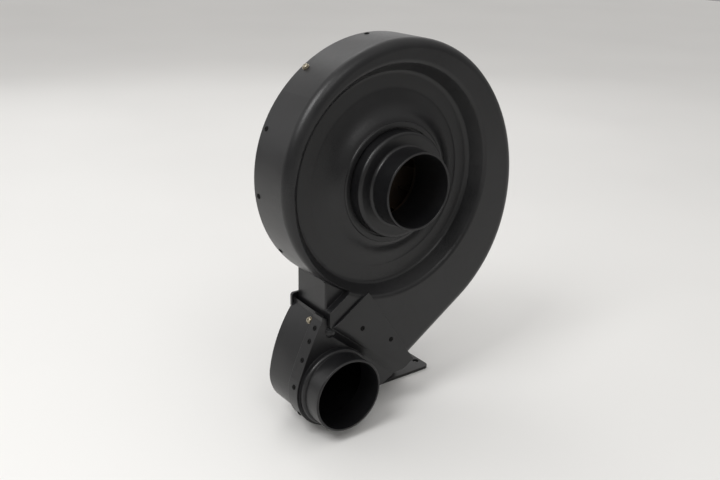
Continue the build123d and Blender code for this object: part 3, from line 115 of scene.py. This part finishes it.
class Recipe:
    """Builds one procedural material."""

    def __init__(self, name):
        self.material = bpy.data.materials.new(name)
        self.material.use_nodes = True
        self.tree = self.material.node_tree
        self.shader = self.tree.nodes["Principled BSDF"]
        self.place = self.node("ShaderNodeTexCoord").outputs["Object"]

    def node(self, kind, values=None, **settings):
        made = self.tree.nodes.new(kind)
        for key, value in settings.items():
            setattr(made, key, value)
        for key, value in (values or {}).items():
            self.feed(made.inputs[key], value)
        return made

    def feed(self, socket, value):
        if isinstance(value, bpy.types.NodeSocket):
            self.tree.links.new(value, socket)
        else:
            socket.default_value = value

    def noise(self, scale, detail=3.0, roughness=0.55, place=None):
        values = {"Vector": place or self.place, "Scale": scale, "Detail": detail, "Roughness": roughness}
        return self.node("ShaderNodeTexNoise", values).outputs["Fac"]

    def cells(self, scale, smooth=0.6):
        values = {"Vector": self.place, "Scale": scale, "Smoothness": smooth}
        return self.node("ShaderNodeTexVoronoi", values, feature="SMOOTH_F1").outputs["Distance"]

    def spread(self, value, low, high, start=0.3, end=0.7):
        """Map a texture value from start..end to low..high."""
        values = {"Value": value, "From Min": start, "From Max": end, "To Min": low, "To Max": high}
        return self.node("ShaderNodeMapRange", values).outputs["Result"]

    def math(self, operation, first, second):
        return self.node("ShaderNodeMath", {0: first, 1: second}, operation=operation).outputs[0]

    def blend(self, factor, first, second):
        """Mix two colours by a texture value."""
        made = self.node("ShaderNodeMix", data_type="RGBA")
        self.feed(made.inputs[MIX_FACTOR], factor)
        self.feed(made.inputs[MIX_FIRST], (*first, 1))
        self.feed(made.inputs[MIX_SECOND], (*second, 1))
        return made.outputs[MIX_RESULT]

    def soft_edges(self, radius):
        """Normals that run round the edges, as moulding, pressing and paint leave them."""
        return self.node("ShaderNodeBevel", {"Radius": radius}, samples=EDGE_SAMPLES).outputs["Normal"]

    def bump(self, height, distance, strength, base):
        values = {"Height": height, "Distance": distance, "Strength": strength, "Normal": base}
        return self.node("ShaderNodeBump", values).outputs["Normal"]

    def finish(self, **inputs):
        for key, value in inputs.items():
            self.feed(self.shader.inputs[key.replace("_", " ")], value)
        return self.material


def grained_plastic(name, colour, worn, roughness, grain=950.0, depth=0.00009, edge=0.0009, gloss=0.42):
    """Moulded or sprayed black with a fine pebbled grain, faint dust and rubbed patches."""
    r = Recipe(name)
    patches = r.noise(14.0, 5.0)
    specks = r.spread(r.noise(420.0, 2.0), 0.0, 0.35, 0.62, 0.80)
    dust = r.math("MAXIMUM", r.spread(patches, 0.0, 0.55, 0.42, 0.72), specks)
    pebbles = r.cells(grain)
    normal = r.bump(pebbles, depth, 0.75, r.soft_edges(edge))
    normal = r.bump(r.noise(90.0, 2.0), 0.0004, 0.25, normal)
    sheen = r.math("ADD", r.spread(patches, -0.04, 0.06),
                   r.spread(pebbles, roughness - 0.03, roughness + 0.05, 0.1, 0.6))
    return r.finish(Base_Color=r.blend(dust, colour, worn), Roughness=sheen, Normal=normal,
                    Specular_IOR_Level=gloss)


def painted(name, colour, worn, roughness, depth=0.00006, edge=0.0007, gloss=0.4):
    """Sprayed enamel with orange peel, small chips and dirt."""
    r = Recipe(name)
    patches = r.noise(22.0, 5.0)
    return r.finish(
        Base_Color=r.blend(r.spread(patches, 0.0, 0.5, 0.4, 0.75), colour, worn),
        Roughness=r.spread(patches, roughness - 0.06, roughness + 0.1),
        Normal=r.bump(r.noise(520.0, 2.0), depth, 0.6, r.soft_edges(edge)),
        Specular_IOR_Level=gloss,
    )


def metal(name, colour, dull, roughness, grain=(1.0, 1.0, 12.0), depth=0.00002, edge=0.0003):
    """Bare or plated metal with fine directional marks and tarnish."""
    r = Recipe(name)
    stretched = r.node("ShaderNodeMapping", {"Vector": r.place, "Scale": grain}).outputs["Vector"]
    marks = r.noise(650.0, 3.0, place=stretched)
    tarnish = r.noise(260.0, 4.0)
    return r.finish(
        Base_Color=r.blend(r.spread(tarnish, 0.0, 0.9, 0.38, 0.68), colour, dull),
        Metallic=1.0,
        Roughness=r.spread(marks, roughness - 0.08, roughness + 0.12),
        Normal=r.bump(marks, depth, 0.5, r.soft_edges(edge)),
    )


def soft_rubber(name, colour, worn):
    """Matt rubber with a fine skin and paler patches."""
    r = Recipe(name)
    fine = r.noise(900.0, 3.0)
    patches = r.noise(60.0, 4.0)
    return r.finish(
        Base_Color=r.blend(r.spread(patches, 0.0, 0.6), colour, worn),
        Roughness=r.spread(fine, 0.62, 0.82),
        Normal=r.bump(fine, 0.00008, 0.6, r.soft_edges(0.0005)),
    )


BLACK, DUSTY_BLACK = (0.006, 0.006, 0.0067), (0.014, 0.014, 0.0148)
MATERIALS = {
    "black_shell": grained_plastic("moulded_black", BLACK, DUSTY_BLACK, 0.30),
    "black_collar": grained_plastic("collar_black", BLACK, DUSTY_BLACK, 0.32, 1200.0, 0.00006),
    "black_paint": painted("powder_coat_black", (0.010, 0.010, 0.011), (0.024, 0.023, 0.022), 0.38),
    "grey_paint": painted("motor_enamel", (0.085, 0.090, 0.097), (0.13, 0.13, 0.13), 0.42),
    "zinc": metal("zinc_plate", (0.42, 0.38, 0.30), (0.20, 0.17, 0.12), 0.40),
    "dark_rivet": painted("blackened_rivet", (0.003, 0.003, 0.003), (0.008, 0.007, 0.006), 0.6,
                          edge=0.0003, gloss=0.12),
    "steel": metal("turned_steel", (0.56, 0.56, 0.57), (0.36, 0.35, 0.34), 0.3, (1.0, 14.0, 1.0)),
    "cast_alloy": metal("cast_alloy", (0.52, 0.53, 0.54), (0.34, 0.34, 0.34), 0.48,
                        (1.0, 1.0, 1.0), 0.00012),
    "wheel_steel": painted("wheel_paint", (0.06, 0.045, 0.034), (0.16, 0.10, 0.06), 0.5),
    "core_steel": metal("laminations", (0.22, 0.22, 0.24), (0.12, 0.11, 0.11), 0.5, (1.0, 40.0, 1.0)),
    "copper": metal("winding_copper", (0.60, 0.26, 0.10), (0.32, 0.13, 0.06), 0.35, (1.0, 1.0, 1.0)),
    "rubber": soft_rubber("black_rubber", (0.012, 0.012, 0.012), (0.03, 0.029, 0.028)),
    "black_plastic": grained_plastic("box_plastic", (0.012, 0.012, 0.012), (0.025, 0.025, 0.025), 0.45,
                                     700.0),
    "brass": metal("brass", (0.6, 0.45, 0.18), (0.35, 0.25, 0.1), 0.35),
}


# ------------------------------------------------------------------ pieces
def dress(obj, slot):
    obj.data.materials.clear()
    obj.data.materials.append(MATERIALS[slot])


for node_name, node_object in NODES.items():
    dress(node_object, SLOT_OF[node_name])


# ------------------------------------------------------------------ floor
FLOOR_CELLS, FLOOR_SIZE = 8, 6.0


def floor_plane():
    """Pale table top under the fan, staged so that it stays out of the part."""
    mesh = bpy.data.meshes.new("floor")
    form = bmesh.new()
    bmesh.ops.create_grid(form, x_segments=FLOOR_CELLS, y_segments=FLOOR_CELLS, size=FLOOR_SIZE)
    form.to_mesh(mesh)
    form.free()
    floor = link("floor", mesh)
    r = Recipe("pale_floor")
    cloud = r.noise(1.6, 3.0)
    floor.data.materials.append(r.finish(
        Base_Color=r.blend(cloud, (0.80, 0.795, 0.78), (0.84, 0.835, 0.82)),
        Roughness=r.spread(cloud, 0.5, 0.65),
    ))


floor_plane()
